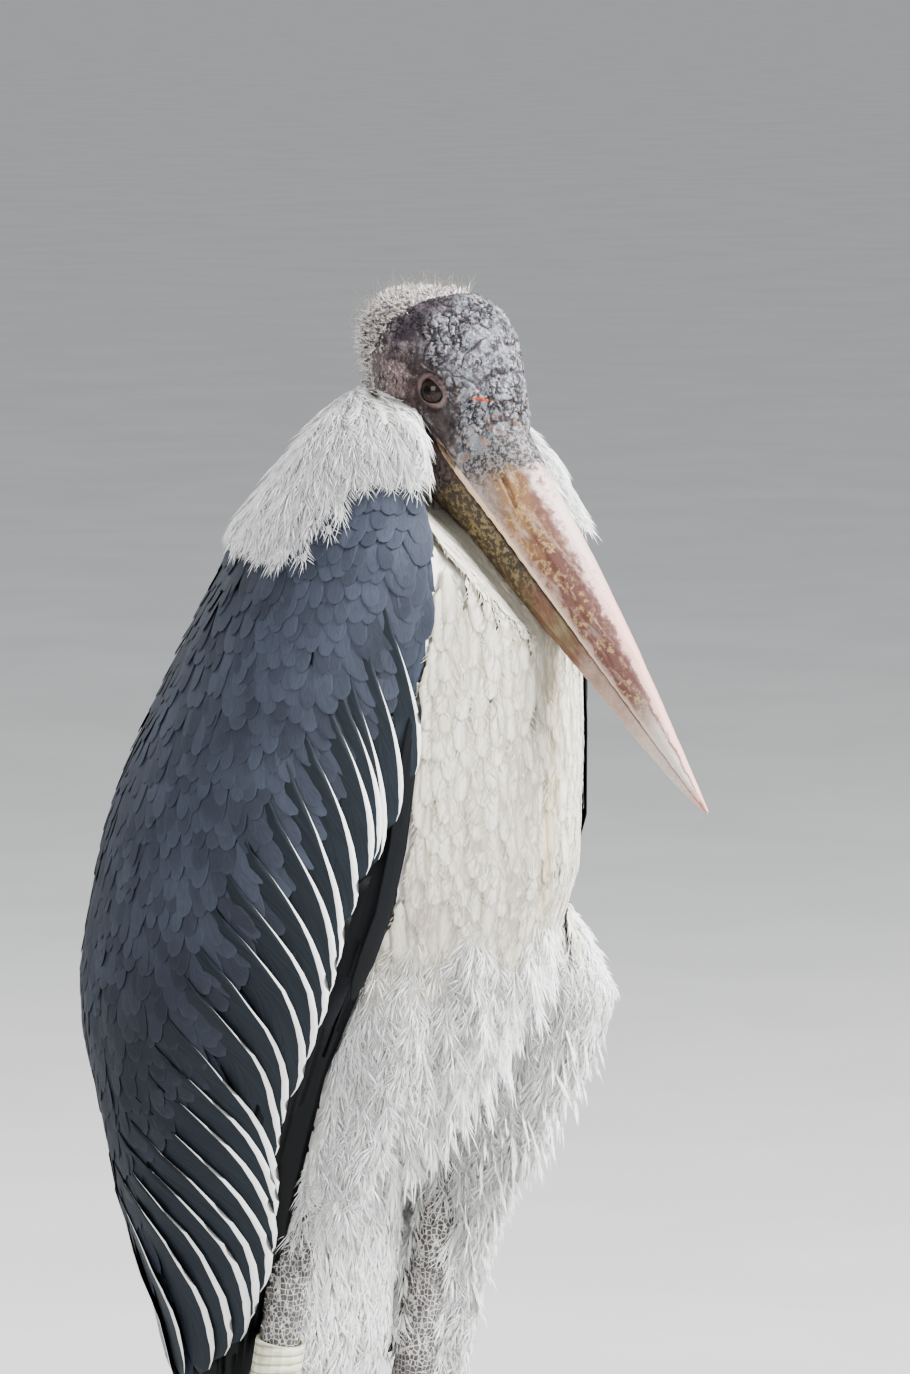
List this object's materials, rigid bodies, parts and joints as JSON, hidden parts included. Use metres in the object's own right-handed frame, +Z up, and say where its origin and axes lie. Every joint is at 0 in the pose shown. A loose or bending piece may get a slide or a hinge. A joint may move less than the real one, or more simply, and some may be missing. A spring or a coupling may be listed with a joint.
{
  "type": "marabou stork",
  "caption": "Marabou stork standing at rest with hunched neck, long bill laid on its breast, folded slate wings and white-coated legs.",
  "frame": {"origin": "on the floor, under the middle of the bird's box", "axes": "+Z up, -Y the way the bird faces, +X its left side"},
  "size_m": [0.3075, 0.4845, 1.0456],
  "materials": {
    "slate_feather": "matt slate-blue feathers with pale edges",
    "black_feather": "black flight feathers with a faint sheen",
    "white_feather": "soft creamy-white feathers",
    "bare_skin": "dry grey-brown skin with dark scabs",
    "bill_horn": "mottled horn, ochre to pink",
    "eye_brown": "wet dark-brown eye",
    "leg_scale": "dark scaly skin coated in chalky white",
    "claw_horn": "dark horn",
    "ring_plastic": "pale green-cream plastic, weathered"
  },
  "bodies": {
    "root": {"head": "bare_skin", "neck": "bare_skin", "bill_upper": "bill_horn", "bill_lower": "bill_horn", "eye_right": "eye_brown", "eye_left": "eye_brown", "trunk": "white_feather", "ruff": "white_feather", "vent_down": "white_feather", "thigh_right": "white_feather", "thigh_left": "white_feather", "mantle": "slate_feather", "tail": "slate_feather", "wing_right": "slate_feather", "wing_left": "slate_feather", "flight_feathers_right": "black_feather", "wing_tip_right": "black_feather", "flight_feathers_left": "black_feather", "wing_tip_left": "black_feather", "shank_right": "leg_scale", "tarsus_right": "leg_scale", "foot_right": "leg_scale", "toe_right_inner": "leg_scale", "claw_right_inner": "claw_horn", "toe_right_middle": "leg_scale", "claw_right_middle": "claw_horn", "toe_right_outer": "leg_scale", "claw_right_outer": "claw_horn", "toe_right_back": "leg_scale", "claw_right_back": "claw_horn", "shank_left": "leg_scale", "tarsus_left": "leg_scale", "foot_left": "leg_scale", "toe_left_inner": "leg_scale", "claw_left_inner": "claw_horn", "toe_left_middle": "leg_scale", "claw_left_middle": "claw_horn", "toe_left_outer": "leg_scale", "claw_left_outer": "claw_horn", "toe_left_back": "leg_scale", "claw_left_back": "claw_horn", "leg_ring": "ring_plastic"}
  },
  "joints": []
}
